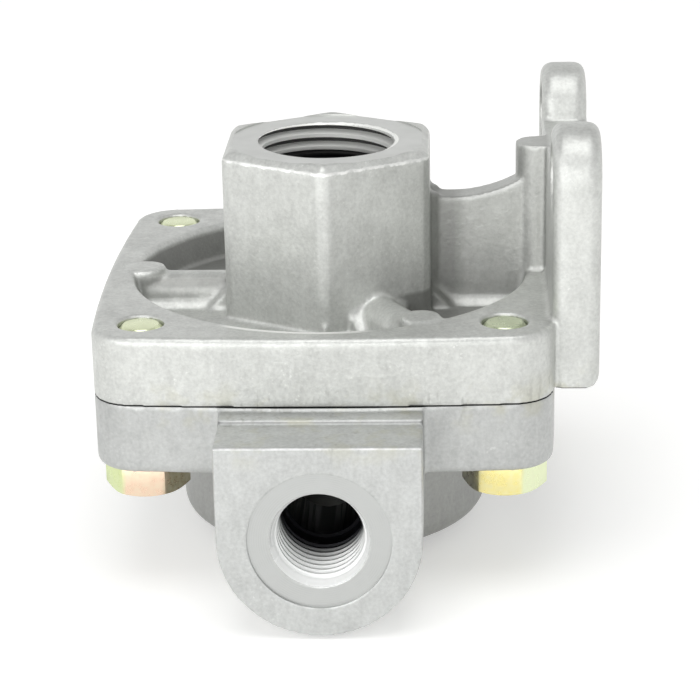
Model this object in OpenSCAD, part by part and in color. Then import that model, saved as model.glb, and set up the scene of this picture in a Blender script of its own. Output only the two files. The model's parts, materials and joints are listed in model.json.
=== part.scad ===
// Quick exhaust valve for compressed-air brake lines.
// A cast cover with a hexagon supply boss and a two-eared mounting plate is bolted onto a
// cast body with two opposite delivery ports. A loose rubber diaphragm between them closes
// either the exhaust nozzle in the body or the supply seat in the cover.
// Z is the valve axis, the delivery ports lie along Y and the mounting plate faces +X.
// The face of the exhaust boss is at Z = 0, and the valve stands on it.

/* [Flanges] */
// Width across the middle of the square flange that cover and body share
flange_w = 63.4; // [61:0.1:70]
// Radius of the slightly bulging flange sides
flange_side_r = 350; // [250:10:900]
// Plan radius of the flange corners
flange_corner_r = 6; // [3:0.5:7]
// Thickness of the cover flange
cover_t = 9.4; // [8.6:0.1:14]
// Thickness of the body flange
body_flange_t = 9.65; // [7:0.05:12]
// Rounding of the outer edges of the castings
cast_edge_r = 0.9; // [0.4:0.1:1.4]

/* [Supply boss] */
// Width across the flats of the hexagon
hex_af = 28.6; // [27:0.1:31]
// Height of the hexagon above the cover flange
hex_h = 19; // [16:0.5:26]
// Diameter that trims the corners of the hexagon
hex_corner_d = 32.2; // [31.2:0.1:33]
// Bevel round the top of the hexagon
hex_bevel = 1.1; // [0.3:0.1:1.4]
// Diameter of the machined face on top of the hexagon
hex_facing_d = 27.4; // [24:0.1:28]
// Depth of the machined face
hex_facing_t = 0.2; // [0.1:0.05:0.5]
// Diameter of the round foot of the hexagon on the recess floor
hex_foot_d = 36; // [32:0.2:38]
// Height of that foot
hex_foot_h = 3.7; // [2:0.1:4.4]
// Minor diameter of the supply thread
supply_d = 18.63; // [14:0.01:20]
// Depth of the supply thread
supply_depth = 16; // [12:0.5:20]
// Width of the bevel at the mouth of the supply thread
supply_bevel = 0.4; // [0.2:0.1:1]
// Diameter of the passage from the supply thread to the diaphragm
supply_passage_d = 11; // [8:0.5:12]

/* [Cover recess and ribs] */
// Width of the rim between the ring recess and the flange sides
recess_rim = 3.7; // [2:0.1:6]
// Depth of the ring recess
recess_depth = 5; // [3:0.1:5.4]
// Slope of the recess wall, as a reduction of its radius at the floor
recess_draft = 1.2; // [0.4:0.1:2]
// Width of the three ribs in the recess
rib_w = 6; // [4:0.5:8]
// Width of the fillets at the feet of ribs and web
foot_w = 1.2; // [0.5:0.1:1.6]
// Depth of the rib tops below the cover face
rib_drop = 0.5; // [0.2:0.1:1.5]
// Diameter of the round pads at the rib ends
pad_d = 5.4; // [4:0.2:7]
// Distance of the pad centres from the edge of the recess
pad_inset = 1.7; // [1:0.1:3]
// Height of the pads above the cover face
pad_rise = 0.3; // [0.1:0.1:0.8]

/* [Mounting plate] */
// Depth by which the mounting plate runs into the side of the cover flange
plate_overlap = 1.2; // [0.8:0.1:3]
// Thickness of the mounting plate
plate_t = 6.4; // [5:0.1:8]
// Height of the plate's top edge, and of the mounting holes, above the cover face
notch_rise = 18.2; // [16:0.1:20]
// Radius of the two round ears on the plate's top edge
ear_r = 7; // [6.2:0.1:8]
// Distance between the mounting holes
mount_spacing = 36; // [34:0.5:40]
// Diameter of the mounting holes
mount_hole_d = 8.4; // [6.6:0.1:9]
// Rounding of the plate edges
plate_edge_r = 1.6; // [0.4:0.1:2]
// Width of the round-nosed column on the inner face of the plate
column_d = 6; // [5:0.2:6.6]
// Depth by which the column stands out of the plate
column_proud = 4.2; // [3.3:0.1:5]
// Thickness of the web between hexagon and plate
web_t = 4.5; // [3.5:0.5:5]
// Lowest height of the web above the cover face
web_rise = 10.75; // [9:0.05:13]
// Radius of the hollow top of the web
web_curve_r = 19.5; // [15:0.1:26]
// Distance from the valve axis to the lowest point of the web
web_dip_x = 17.3; // [16:0.1:20]

/* [Body] */
// Height of the joint face between body and cover
body_h = 27.9; // [26.5:0.1:34]
// Height of the exhaust boss that the valve stands on
exhaust_boss_h = 1.9; // [1:0.1:4]
// Diameter of the exhaust boss
exhaust_boss_d = 25; // [20:0.5:30]
// Diameter of the exhaust hole
exhaust_d = 16; // [10:0.5:17]
// Outer diameter of the round lower body
bowl_d = 44; // [43:0.1:50]
// Rounding of the lower edge of the round body
bowl_edge_r = 2.5; // [1:0.1:4]

/* [Delivery ports] */
// Distance between the two delivery port faces
port_span = 87; // [80:0.5:96]
// Height of the delivery port axis
port_z = 13.9; // [13.6:0.1:16]
// Width of the port blocks
port_block_w = 26.8; // [24:0.1:27]
// Drop of the port block tops below the joint face
port_block_drop = 1; // [0.7:0.1:3]
// Depth of the ledge between flange and port block top
ledge_depth = 3.3; // [1:0.1:5]
// Drop of the ledge below the joint face
ledge_drop = 0.45; // [0.2:0.05:0.6]
// Diameter of the spot face round the port mouth
spot_face_d = 18.8; // [16:0.1:22]
// Depth of the spot face
spot_face_t = 0.35; // [0.1:0.05:0.8]
// Minor diameter of the delivery thread
port_d = 11.45; // [10:0.05:13]
// Depth of the delivery thread
port_depth = 14; // [11:0.5:18]
// Step from the delivery thread to the drilling that leads into the chamber
port_step = 0.5; // [0.2:0.1:1.5]
// Width of the bevel at the delivery port mouths
mouth_bevel = 0.9; // [0.4:0.1:1.2]

/* [Chamber and diaphragm] */
// Diameter of the chamber in the body
chamber_d = 38.8; // [37:0.1:39.4]
// Depth of the chamber floor below the delivery drillings
chamber_sump = 1.2; // [0.5:0.1:1.6]
// Diameter of the diaphragm
diaphragm_d = 34; // [30:0.1:35]
// Thickness of the diaphragm over the seats
diaphragm_t = 3; // [2.2:0.1:3.4]
// Thickness of the diaphragm at its edge
diaphragm_edge_t = 2; // [1.4:0.1:2.2]
// Travel of the diaphragm between the two seats
diaphragm_lift = 1.6; // [1:0.1:1.8]
// Height of the supply seat above the joint face
supply_seat_rise = 0.6; // [0.3:0.1:0.8]
// Height of the cover chamber above the joint face
cover_chamber_h = 1.8; // [1.2:0.1:2]
// Width of the seat lips
seat_w = 1.5; // [1:0.1:2]
// Wall of the exhaust nozzle
nozzle_wall = 3; // [2.4:0.1:3.5]
// Width of the four guides round the diaphragm
guide_w = 3; // [2:0.5:5]
// Running gap between diaphragm and guides
guide_gap = 0.15; // [0.05:0.05:0.4]

/* [Seal and bolts] */
// Thickness of the sealing ring
seal_d = 2.6; // [2:0.1:3]
// Wall between chamber and seal groove
seal_wall = 2; // [1.5:0.1:2.4]
// Gap between the sealing ring and its groove
seal_gap = 0.05; // [0.02:0.01:0.1]
// Distance of the cover bolts from the flange sides
bolt_inset = 7.45; // [6:0.05:8]
// Thread diameter of the cover bolts
bolt_d = 6; // [5:0.5:6.5]
// Width across the flats of the bolt heads
bolt_af = 10; // [8:0.5:11]
// Height of the bolt heads
bolt_head_h = 4; // [3:0.1:5]
// Clearance between the bolts and the tapped holes of the cover
tapped_gap = 0.05; // [0.02:0.01:0.1]
// Bevel at the upper end of the tapped holes
tapped_bevel = 0.35; // [0.1:0.05:0.8]
// Clearance between the bolts and the holes of the body
through_gap = 0.25; // [0.1:0.05:0.5]
// Depth of the bolt tips below the cover face
bolt_tip_drop = 0.2; // [0:0.05:1]

/* [Hidden] */
$fn = 96;
// Overlap that joins solids and carries cuts through a face
bite = 0.5;
// Straight pieces that make up a quarter round
round_steps = 4;

cover_top = body_h + cover_t;
hex_top = cover_top + hex_h;
hex_apothem = hex_af / 2;
hex_r = hex_apothem / cos(30);
recess_floor = cover_top - recess_depth;
recess_r = flange_w / 2 - recess_rim;
pad_reach = recess_r - pad_inset;
flange_bottom = body_h - body_flange_t;
side_c = flange_side_r - flange_w / 2;
corner_reach = flange_side_r - flange_corner_r;
corner_c = (sqrt(2 * corner_reach * corner_reach - side_c * side_c) - side_c) / 2;
side_angle = atan2(corner_c, corner_c + side_c);
plate_inner = flange_w / 2 - plate_overlap;
plate_reach = plate_inner + plate_t;
plate_half = mount_spacing / 2 + ear_r;
notch_z = cover_top + notch_rise;
column_x = plate_inner - column_proud + column_d / 2;
block_r = port_block_w / 2;
block_top = body_h - port_block_drop;
port_drill_d = port_d - 2 * port_step;
chamber_floor = port_z - port_drill_d / 2 - chamber_sump;
chamber_r = chamber_d / 2;
supply_seat_z = body_h + supply_seat_rise;
exhaust_seat_z = supply_seat_z - diaphragm_lift - diaphragm_t;
exhaust_r = exhaust_d / 2;
passage_r = supply_passage_d / 2;
nozzle_r = exhaust_r + nozzle_wall;
groove_w = seal_d + 4 * seal_gap;
groove_depth = seal_d + 2 * seal_gap;
groove_r = chamber_r + seal_wall + groove_w / 2;
bolt_r = bolt_d / 2;
bolt_c = flange_w / 2 - bolt_inset;
bolt_places = [for (sx = [-1, 1], sy = [-1, 1]) [sx * bolt_c, sy * bolt_c, 0]];
// Angles at which the bolt heads came to rest when they were tightened
bolt_turns = [0, 24, -8, 41];

// Points of an arc, from one angle to another
function arc(c, r, from, to) =
    [for (i = [0:round_steps])
        let (a = from + (to - from) * i / round_steps)
        [c[0] + r * cos(a), c[1] + r * sin(a)]];

// Section that rounds an edge off: the edge lies at the origin, the solid at -X and -Y
module edge_section(r) {
    polygon(concat([[bite, -r], [bite, bite], [-r, bite]], arc([-r, -r], r, 90, 0)));
}

// Square plan with bulging sides and round corners, whose arcs run into each other
module flange_plan() {
    meet = [corner_c, corner_c] + flange_corner_r * [cos(side_angle), sin(side_angle)];
    intersection() {
        rotate(45) square(sqrt(2) * (meet[0] + meet[1]), center = true);
        intersection_for (side = [0:3])
            rotate(90 * side) translate([-side_c, 0]) circle(flange_side_r);
    }
    for (side = [0:3])
        rotate(90 * side) translate([corner_c, corner_c]) circle(flange_corner_r);
}

// Cutter that rounds the upper edge of the flange plan at Z = 0
module flange_edge_cut(r) {
    for (side = [0:3])
        rotate(90 * side) {
            translate([-side_c, 0, 0]) rotate(-side_angle)
                rotate_extrude(angle = 2 * side_angle)
                    translate([flange_side_r, 0]) edge_section(r);
            translate([corner_c, corner_c, 0]) rotate(side_angle)
                rotate_extrude(angle = 90 - 2 * side_angle)
                    translate([flange_corner_r, 0]) edge_section(r);
        }
}

// Four copies at the cover bolts
module at_bolts() {
    for (place = bolt_places)
        translate(place) children();
}

// Cover

module cover_flange() {
    rim_bevel = cast_edge_r / 2;
    difference() {
        translate([0, 0, body_h]) linear_extrude(cover_t) flange_plan();
        translate([0, 0, cover_top]) flange_edge_cut(cast_edge_r);
        translate([0, 0, recess_floor])
            cylinder(r1 = recess_r - recess_draft, r2 = recess_r, h = recess_depth);
        translate([0, 0, cover_top - rim_bevel])
            cylinder(r1 = recess_r - rim_bevel / 2, r2 = recess_r + 2 * rim_bevel, h = 2 * rim_bevel);
    }
}

module hex_boss() {
    difference() {
        translate([0, 0, recess_floor - bite]) intersection() {
            rotate(30) cylinder(r = hex_r, h = hex_top - recess_floor + bite, $fn = 6);
            cylinder(d = hex_corner_d, h = hex_top - recess_floor + bite);
        }
        for (flat = [0:5])
            rotate(60 * flat) translate([hex_apothem - hex_bevel, 0, hex_top])
                rotate([0, 45, 0]) translate([0, -hex_r, 0]) cube(2 * hex_r);
        translate([0, 0, hex_top - hex_facing_t]) cylinder(d = hex_facing_d, h = hex_bevel);
    }
    translate([0, 0, recess_floor]) cylinder(d1 = hex_foot_d, d2 = hex_af, h = hex_foot_h);
}

// Fillets on both sides of a wall of this width that stands on the recess floor along +X
module wall_foot(w, length) {
    rotate([90, 0, 90]) linear_extrude(length) polygon([
        [-w / 2 - foot_w, recess_floor - bite],
        [-w / 2 - foot_w, recess_floor],
        [-w / 2, recess_floor + foot_w],
        [w / 2, recess_floor + foot_w],
        [w / 2 + foot_w, recess_floor],
        [w / 2 + foot_w, recess_floor - bite]
    ]);
}

// One rib with a half-round top and the round pad at its end
module recess_rib() {
    rib_r = rib_w / 2;
    rib_axis = cover_top - rib_drop - rib_r;
    rib_base = recess_floor - bite;
    pad_r = pad_d / 2;
    pad_top = cover_top + pad_rise;
    pad_bevel = pad_rise / 2;
    translate([0, 0, rib_axis]) rotate([0, 90, 0]) cylinder(r = rib_r, h = pad_reach);
    translate([0, -rib_r, rib_base]) cube([pad_reach, rib_w, rib_axis - rib_base]);
    wall_foot(rib_w, pad_reach);
    translate([pad_reach, 0, 0]) rotate_extrude() polygon([
        [0, rib_base],
        [pad_r, rib_base],
        [pad_r, pad_top - pad_bevel],
        [pad_r - 2 * pad_bevel, pad_top],
        [0, pad_top]
    ]);
}

// Web with a hollow top between hexagon and plate, with a bead on each side at the hexagon
module web() {
    bead_d = web_t / 2;
    bead_rise = bead_d / 3;
    bead_y = web_t / 2 - bead_d / 6;
    web_z = recess_floor - bite;
    rotate([90, 0, 0]) linear_extrude(web_t, center = true) difference() {
        translate([hex_apothem - bite, web_z])
            square([plate_inner - hex_apothem + 2 * bite, notch_z - web_z - bite]);
        translate([web_dip_x, cover_top + web_rise + web_curve_r]) circle(web_curve_r);
    }
    wall_foot(web_t, recess_r);
    for (sy = [-1, 1])
        translate([hex_apothem, sy * bead_y, web_z])
            cylinder(d = bead_d, h = cover_top + web_rise + bead_rise - web_z);
}

// Outline of the mounting plate in the YZ plane, with a round ear at each end of its top edge
module plate_outline() {
    translate([-plate_half, body_h]) square([2 * plate_half, notch_z - body_h]);
    for (side = [-1, 1])
        translate([side * mount_spacing / 2, notch_z]) circle(ear_r);
}

// Cutter that rounds the edges of the plate face at X = 0, with the plate on its -X side
module plate_edge_cut(r) {
    for (flip = [0, 1])
        mirror([0, flip, 0]) {
            translate([0, plate_half, body_h - bite])
                linear_extrude(notch_z - body_h + bite) edge_section(r);
            translate([0, mount_spacing / 2, notch_z]) rotate([0, 90, 0]) rotate(90)
                rotate_extrude(angle = 180) translate([ear_r, 0]) edge_section(r);
        }
}

module mounting_plate() {
    difference() {
        translate([plate_inner, 0, 0]) rotate([90, 0, 90])
            linear_extrude(plate_t) plate_outline();
        translate([plate_reach, 0, 0]) plate_edge_cut(plate_edge_r);
        translate([plate_inner, 0, 0]) mirror([1, 0, 0]) plate_edge_cut(plate_edge_r);
        translate([plate_reach, plate_half + bite, body_h]) rotate([90, 0, 0]) mirror([0, 1, 0])
            linear_extrude(2 * plate_half + 2 * bite) edge_section(plate_edge_r);
        for (sy = [-1, 1])
            translate([plate_inner - bite, sy * mount_spacing / 2, notch_z])
                rotate([0, 90, 0]) cylinder(d = mount_hole_d, h = plate_t + 2 * bite);
    }
    translate([column_x, 0, recess_floor]) {
        cylinder(d = column_d, h = notch_z - recess_floor);
        translate([0, -column_d / 2, 0])
            cube([plate_inner - column_x + bite, column_d, notch_z - recess_floor]);
    }
}

// Threaded supply bore with its mouth bevel, drill cone and passage to the seat
module supply_void() {
    mouth_z = hex_top - hex_facing_t;
    thread_end = hex_top - supply_depth;
    cone_h = (supply_d - supply_passage_d) / 4;
    translate([0, 0, mouth_z - supply_bevel])
        cylinder(d1 = supply_d, d2 = supply_d + 2 * (supply_bevel + bite), h = supply_bevel + bite);
    translate([0, 0, thread_end]) cylinder(d = supply_d, h = supply_depth + bite);
    translate([0, 0, thread_end - cone_h])
        cylinder(d1 = supply_passage_d, d2 = supply_d, h = cone_h);
    translate([0, 0, body_h]) cylinder(d = supply_passage_d, h = thread_end - body_h);
}

// Shallow chamber under the cover, with the supply seat standing in its middle
module cover_chamber_void() {
    roof = body_h + cover_chamber_h;
    lip_r = passage_r + seat_w;
    rotate_extrude() polygon([
        [0, body_h - bite],
        [chamber_r, body_h - bite],
        [chamber_r, roof],
        [lip_r + cover_chamber_h - supply_seat_rise, roof],
        [lip_r, supply_seat_z],
        [0, supply_seat_z]
    ]);
}

// Tapped hole through the cover with a bevel at its upper end
module tapped_hole() {
    hole_r = bolt_r + tapped_gap;
    translate([0, 0, body_h - bite]) cylinder(r = hole_r, h = cover_t + 2 * bite);
    translate([0, 0, cover_top - tapped_bevel])
        cylinder(r1 = hole_r, r2 = hole_r + tapped_bevel + bite, h = tapped_bevel + bite);
}

module cover() {
    color([0.76, 0.77, 0.75]) difference() {
        union() {
            cover_flange();
            hex_boss();
            for (turn = [60, 180, 300])
                rotate(turn) recess_rib();
            web();
            mounting_plate();
        }
        supply_void();
        cover_chamber_void();
        at_bolts() tapped_hole();
    }
}

// Body

module body_flange() {
    difference() {
        translate([0, 0, flange_bottom]) linear_extrude(body_flange_t) flange_plan();
        translate([0, 0, flange_bottom]) mirror([0, 0, 1]) flange_edge_cut(cast_edge_r);
    }
}

// Round lower body with the exhaust boss under it
module bowl() {
    boss_r = exhaust_boss_d / 2;
    boss_bevel = exhaust_boss_h / 4;
    bowl_r = bowl_d / 2;
    join_z = flange_bottom + bite;
    rotate_extrude() polygon(concat(
        [[0, 0], [boss_r - boss_bevel, 0], [boss_r, boss_bevel], [boss_r, exhaust_boss_h]],
        arc([bowl_r - bowl_edge_r, exhaust_boss_h + bowl_edge_r], bowl_edge_r, -90, 0),
        [[bowl_r, join_z], [0, join_z]]
    ));
}

// Both port blocks, made as one bar through the body, with the ledges above them
module port_blocks() {
    ledge_y = flange_w / 2 + ledge_depth;
    rotate([90, 0, 0]) linear_extrude(port_span, center = true) {
        intersection() {
            translate([0, port_z]) circle(block_r);
            translate([-block_r, port_z - block_r]) square([port_block_w, block_r + bite]);
        }
        translate([-block_r, port_z]) square([port_block_w, block_top - port_z]);
    }
    translate([-block_r, -ledge_y, block_top - bite])
        cube([port_block_w, 2 * ledge_y, port_block_drop - ledge_drop + bite]);
}

// Spot face, bevel, thread and drilling of the port that faces -Y
module port_void() {
    cone_h = (port_d - port_drill_d) / 4;
    translate([0, -port_span / 2, port_z]) rotate([-90, 0, 0]) {
        translate([0, 0, -bite]) cylinder(d = spot_face_d, h = spot_face_t + bite);
        translate([0, 0, spot_face_t - bite])
            cylinder(d1 = port_d + 2 * (mouth_bevel + bite), d2 = port_d, h = mouth_bevel + bite);
        cylinder(d = port_d, h = port_depth);
        translate([0, 0, port_depth]) cylinder(d1 = port_d, d2 = port_drill_d, h = cone_h);
        cylinder(d = port_drill_d, h = port_span / 2 - chamber_r + seal_wall);
    }
}

// Ring chamber round the exhaust nozzle, with four guides left standing for the diaphragm
module chamber_void() {
    lip_r = exhaust_r + seat_w;
    guide_r = diaphragm_d / 2 + guide_gap;
    difference() {
        rotate_extrude() polygon([
            [nozzle_r, chamber_floor],
            [chamber_r, chamber_floor],
            [chamber_r, body_h + bite],
            [0, body_h + bite],
            [0, exhaust_seat_z],
            [lip_r, exhaust_seat_z],
            [nozzle_r, exhaust_seat_z - nozzle_wall + seat_w]
        ]);
        for (turn = [45:90:315])
            rotate(turn) translate([guide_r, -guide_w / 2, chamber_floor - bite])
                cube([chamber_r - guide_r + bite, guide_w, body_h - chamber_floor + bite]);
    }
}

module body() {
    color([0.72, 0.73, 0.72]) difference() {
        union() {
            body_flange();
            bowl();
            port_blocks();
        }
        chamber_void();
        for (turn = [0, 180])
            rotate(turn) port_void();
        translate([0, 0, -bite]) cylinder(r = exhaust_r, h = exhaust_seat_z + 2 * bite);
        rotate_extrude() translate([groove_r - groove_w / 2, body_h - groove_depth])
            square([groove_w, groove_depth + bite]);
        at_bolts() translate([0, 0, flange_bottom - bite])
            cylinder(r = bolt_r + through_gap, h = body_flange_t + 2 * bite);
    }
}

// Loose pieces

// Rubber disc, thick over the seats and thinner towards its edge
module diaphragm() {
    disc_r = diaphragm_d / 2;
    thick_r = max(exhaust_r, passage_r) + seat_w + bite;
    edge = diaphragm_edge_t / 4;
    color([0.09, 0.09, 0.10]) translate([0, 0, exhaust_seat_z]) rotate_extrude() polygon([
        [0, 0],
        [disc_r - edge, 0],
        [disc_r, edge],
        [disc_r, diaphragm_edge_t - edge],
        [disc_r - edge, diaphragm_edge_t],
        [thick_r, diaphragm_t],
        [0, diaphragm_t]
    ]);
}

module cover_seal() {
    color([0.06, 0.06, 0.06]) translate([0, 0, body_h - groove_depth / 2])
        rotate_extrude() translate([groove_r, 0]) circle(d = seal_d);
}

// Hexagon-head bolt, pushed up from below, with its head under the body flange
module cover_bolt() {
    head_r = bolt_af / 2 / cos(30);
    tip = bolt_d / 10;
    tip_z = cover_top - bolt_tip_drop;
    translate([0, 0, flange_bottom - bolt_head_h]) intersection() {
        cylinder(r = head_r, h = bolt_head_h, $fn = 6);
        cylinder(r1 = bolt_af / 2, r2 = bolt_af / 2 + 2 * bolt_head_h, h = bolt_head_h);
    }
    translate([0, 0, flange_bottom - bite])
        cylinder(r = bolt_r, h = tip_z - tip - flange_bottom + bite);
    translate([0, 0, tip_z - tip]) cylinder(r1 = bolt_r, r2 = bolt_r - tip, h = tip);
}

module cover_bolts() {
    color([0.84, 0.80, 0.48]) for (i = [0:3])
        translate(bolt_places[i]) rotate(bolt_turns[i]) cover_bolt();
}

cover();
body();
diaphragm();
cover_seal();
cover_bolts();
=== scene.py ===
# %% [markdown]
# # A quick exhaust valve
# This valve sits in an air line and lets the used air out on the spot. Two aluminium castings,
# a cover and a body, are bolted together round a loose rubber diaphragm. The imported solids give
# every size and place. This lesson gives the castings their soft edges, cuts the threads, and
# finds a finish for each metal and for the rubber. All lengths are in metres, and Z runs up
# along the axis of the valve.

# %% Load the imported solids
import json
import math

import bpy
import numpy as np
from mathutils import Matrix

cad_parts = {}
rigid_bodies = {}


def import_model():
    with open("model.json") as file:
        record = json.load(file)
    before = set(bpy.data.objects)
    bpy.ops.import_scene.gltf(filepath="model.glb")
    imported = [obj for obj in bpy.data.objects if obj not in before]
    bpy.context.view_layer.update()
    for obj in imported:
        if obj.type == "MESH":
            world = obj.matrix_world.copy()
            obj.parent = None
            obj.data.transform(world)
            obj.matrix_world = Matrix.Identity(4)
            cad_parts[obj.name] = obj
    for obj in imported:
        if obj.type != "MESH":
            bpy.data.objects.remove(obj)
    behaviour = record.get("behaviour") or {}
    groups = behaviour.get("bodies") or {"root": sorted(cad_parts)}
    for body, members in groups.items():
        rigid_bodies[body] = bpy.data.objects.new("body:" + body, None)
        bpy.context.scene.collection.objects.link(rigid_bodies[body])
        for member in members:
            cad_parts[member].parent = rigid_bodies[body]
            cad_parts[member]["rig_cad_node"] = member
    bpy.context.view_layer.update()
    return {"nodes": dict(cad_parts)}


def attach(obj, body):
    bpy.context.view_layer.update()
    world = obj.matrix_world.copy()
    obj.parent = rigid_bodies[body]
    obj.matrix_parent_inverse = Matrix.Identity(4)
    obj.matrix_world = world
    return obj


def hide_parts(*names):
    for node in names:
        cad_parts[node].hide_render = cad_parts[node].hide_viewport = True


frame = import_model()
MM = 0.001
print("solids:", sorted(frame["nodes"]))

# %% [markdown]
# ## Working with one object at a time
# An operator acts on everything that is selected, so each step first leaves just one object
# selected. A modifier that has done its work is applied at once, which leaves a plain mesh.


# %% Helpers for selecting and applying
def only(piece):
    """Leaves this one object selected and active."""
    bpy.ops.object.select_all(action="DESELECT")
    piece.select_set(True)
    bpy.context.view_layer.objects.active = piece


def edit_all(piece):
    """Opens edit mode with the whole mesh selected."""
    only(piece)
    bpy.ops.object.mode_set(mode="EDIT")
    bpy.ops.mesh.select_all(action="SELECT")


def leave_edit():
    bpy.ops.object.mode_set(mode="OBJECT")


def apply_modifier(piece, kind, **settings):
    """Adds a modifier with these settings and applies it."""
    only(piece)
    modifier = piece.modifiers.new(kind.title(), kind)
    for key, value in settings.items():
        setattr(modifier, key, value)
    bpy.ops.object.modifier_apply(modifier=modifier.name)


def triangles(piece):
    piece.data.calc_loop_triangles()
    return len(piece.data.loop_triangles)


print("helpers are ready")

# %% [markdown]
# ## Sizes that the finishing steps share
# The solids hold plain bores at the minor diameter of each thread. The cutters below need the
# same places again, so they are named once here, as on a workshop drawing.

# %% Places and sizes of the machined features
JOINT_Z = 27.9 * MM
FLANGE_BOTTOM = 18.25 * MM
FLANGE_HALF = 31.7 * MM
RECESS_R = 28.0 * MM
BOWL_R = 22.0 * MM
COVER_TOP = 37.3 * MM
HEX_TOP = 56.3 * MM
HEX_FACE = 56.05 * MM
HEX_BEVEL = 1.1 * MM
HEX_APOTHEM = 14.3 * MM
RECESS_FLOOR = 32.3 * MM
FACING_R = 13.7 * MM
SUPPLY_R = 9.315 * MM
SUPPLY_MAJOR_R = 10.45 * MM
SUPPLY_MOUTH_R = 9.75 * MM
SUPPLY_PITCH = 1.814 * MM
SUPPLY_END = 40.3 * MM
SUPPLY_RUNOUT = 1.6 * MM
SUPPLY_TURNS = 9
PASSAGE_R = 5.62 * MM
BOLT_C = 24.25 * MM
TAPPED_R = 3.12 * MM
TAPPED_BEVEL = 0.15 * MM
PORT_Z = 13.9 * MM
PORT_FACE = 43.5 * MM
SPOT_R = 9.4 * MM
SPOT_T = 0.4 * MM
BLOCK_TOP = 26.9 * MM
LEDGE_Y = 35.0 * MM
PORT_R = 5.725 * MM
PORT_MOUTH_R = 6.55 * MM
PORT_TAPER = 2.2 * MM
PORT_MAJOR_R = 6.25 * MM
PORT_PITCH = 1.337 * MM
PORT_DEPTH = 14.0 * MM
PORT_RUNOUT = 1.5 * MM
PORT_TURNS = 10
DRILL_R = 5.3 * MM
DRILL_END = 25.5 * MM
EXHAUST_R = 8.12 * MM
EXHAUST_END = 20.0 * MM
print("supply thread", round(2 * SUPPLY_MAJOR_R / MM, 2), "mm, delivery thread",
      round(2 * PORT_MAJOR_R / MM, 2), "mm")

# %% [markdown]
# ## Finishes: nodes in a few lines
# Every finish is made of shader nodes that read Object coordinates, so it stays on the piece
# when the camera moves. A few small helpers keep the wiring readable.


# %% Helpers for wiring nodes
def feed(tree, socket, value):
    """Links an input to another socket, or sets it to a plain value."""
    if isinstance(value, bpy.types.NodeSocket):
        tree.links.new(value, socket)
    else:
        socket.default_value = value


def add_node(tree, kind, **inputs):
    """Adds a node and feeds its inputs, which go by name or by number as i0, i1 and so on."""
    node = tree.nodes.new(kind)
    for key, value in inputs.items():
        feed(tree, node.inputs[int(key[1:]) if key[1:].isdigit() else key], value)
    return node


def math_node(tree, operation, a, b=0.5, clamp=False):
    node = add_node(tree, "ShaderNodeMath", i0=a, i1=b)
    node.operation = operation
    node.use_clamp = clamp
    return node.outputs[0]


def noise(tree, vector, size, detail=2.0, roughness=0.5):
    """Noise whose blotches are about this size in metres."""
    return add_node(tree, "ShaderNodeTexNoise", Vector=vector, Scale=1 / size, Detail=detail,
                    Roughness=roughness).outputs[0]


def stretch(tree, value, low, high, to_low=0.0, to_high=1.0):
    """Maps a range of values onto another one."""
    node = add_node(tree, "ShaderNodeMapRange", Value=value)
    for index, number in zip((1, 2, 3, 4), (low, high, to_low, to_high)):
        node.inputs[index].default_value = number
    return node.outputs[0]


def mix_colour(tree, factor, a, b):
    """The colour between a and b; its sockets come after those for numbers and vectors."""
    node = tree.nodes.new("ShaderNodeMix")
    node.data_type = "RGBA"
    for index, value in ((0, factor), (6, a), (7, b)):
        feed(tree, node.inputs[index], value)
    return node.outputs[2]


def mix_value(tree, factor, a, b):
    return add_node(tree, "ShaderNodeMix", i0=factor, i2=a, i3=b).outputs[0]


def object_place(tree):
    """The Object coordinates of the point that is shaded."""
    return tree.nodes.new("ShaderNodeTexCoord").outputs["Object"]


def axes_of(tree, place):
    """The X, Y and Z of a place."""
    return add_node(tree, "ShaderNodeSeparateXYZ", Vector=place).outputs


def radius_of(tree, a, b):
    """How far a point with these two coordinates is from the line where both are zero."""
    squares = [math_node(tree, "MULTIPLY", value, value) for value in (a, b)]
    return math_node(tree, "SQRT", math_node(tree, "ADD", *squares))


def new_finish(name):
    """A material with a Principled shader, its node tree and that shader."""
    finish = bpy.data.materials.new(name)
    finish.use_nodes = True
    return finish, finish.node_tree, finish.node_tree.nodes["Principled BSDF"]


def new_group(name, inputs, outputs):
    """A node group with named number inputs, and outputs of the given socket kinds."""
    group = bpy.data.node_groups.new(name, "ShaderNodeTree")
    for title, value in inputs.items():
        socket = group.interface.new_socket(title, in_out="INPUT", socket_type="NodeSocketFloat")
        socket.default_value = value
    for title, kind in outputs.items():
        group.interface.new_socket(title, in_out="OUTPUT", socket_type=kind)
    return group, group.nodes.new("NodeGroupInput"), group.nodes.new("NodeGroupOutput")


def use_group(tree, group, **inputs):
    node = tree.nodes.new("ShaderNodeGroup")
    node.node_tree = group
    for key, value in inputs.items():
        feed(tree, node.inputs[key], value)
    return node


print("node helpers are ready")

# %% [markdown]
# ## The skin of a casting
# Molten aluminium that sets against a mould keeps a fine grain, slightly darker patches, and
# bright specks where crystals caught the surface. Both castings have this skin, so it is one
# node group with a Grain and a Specks input, and each material sets its own amounts.

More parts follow.
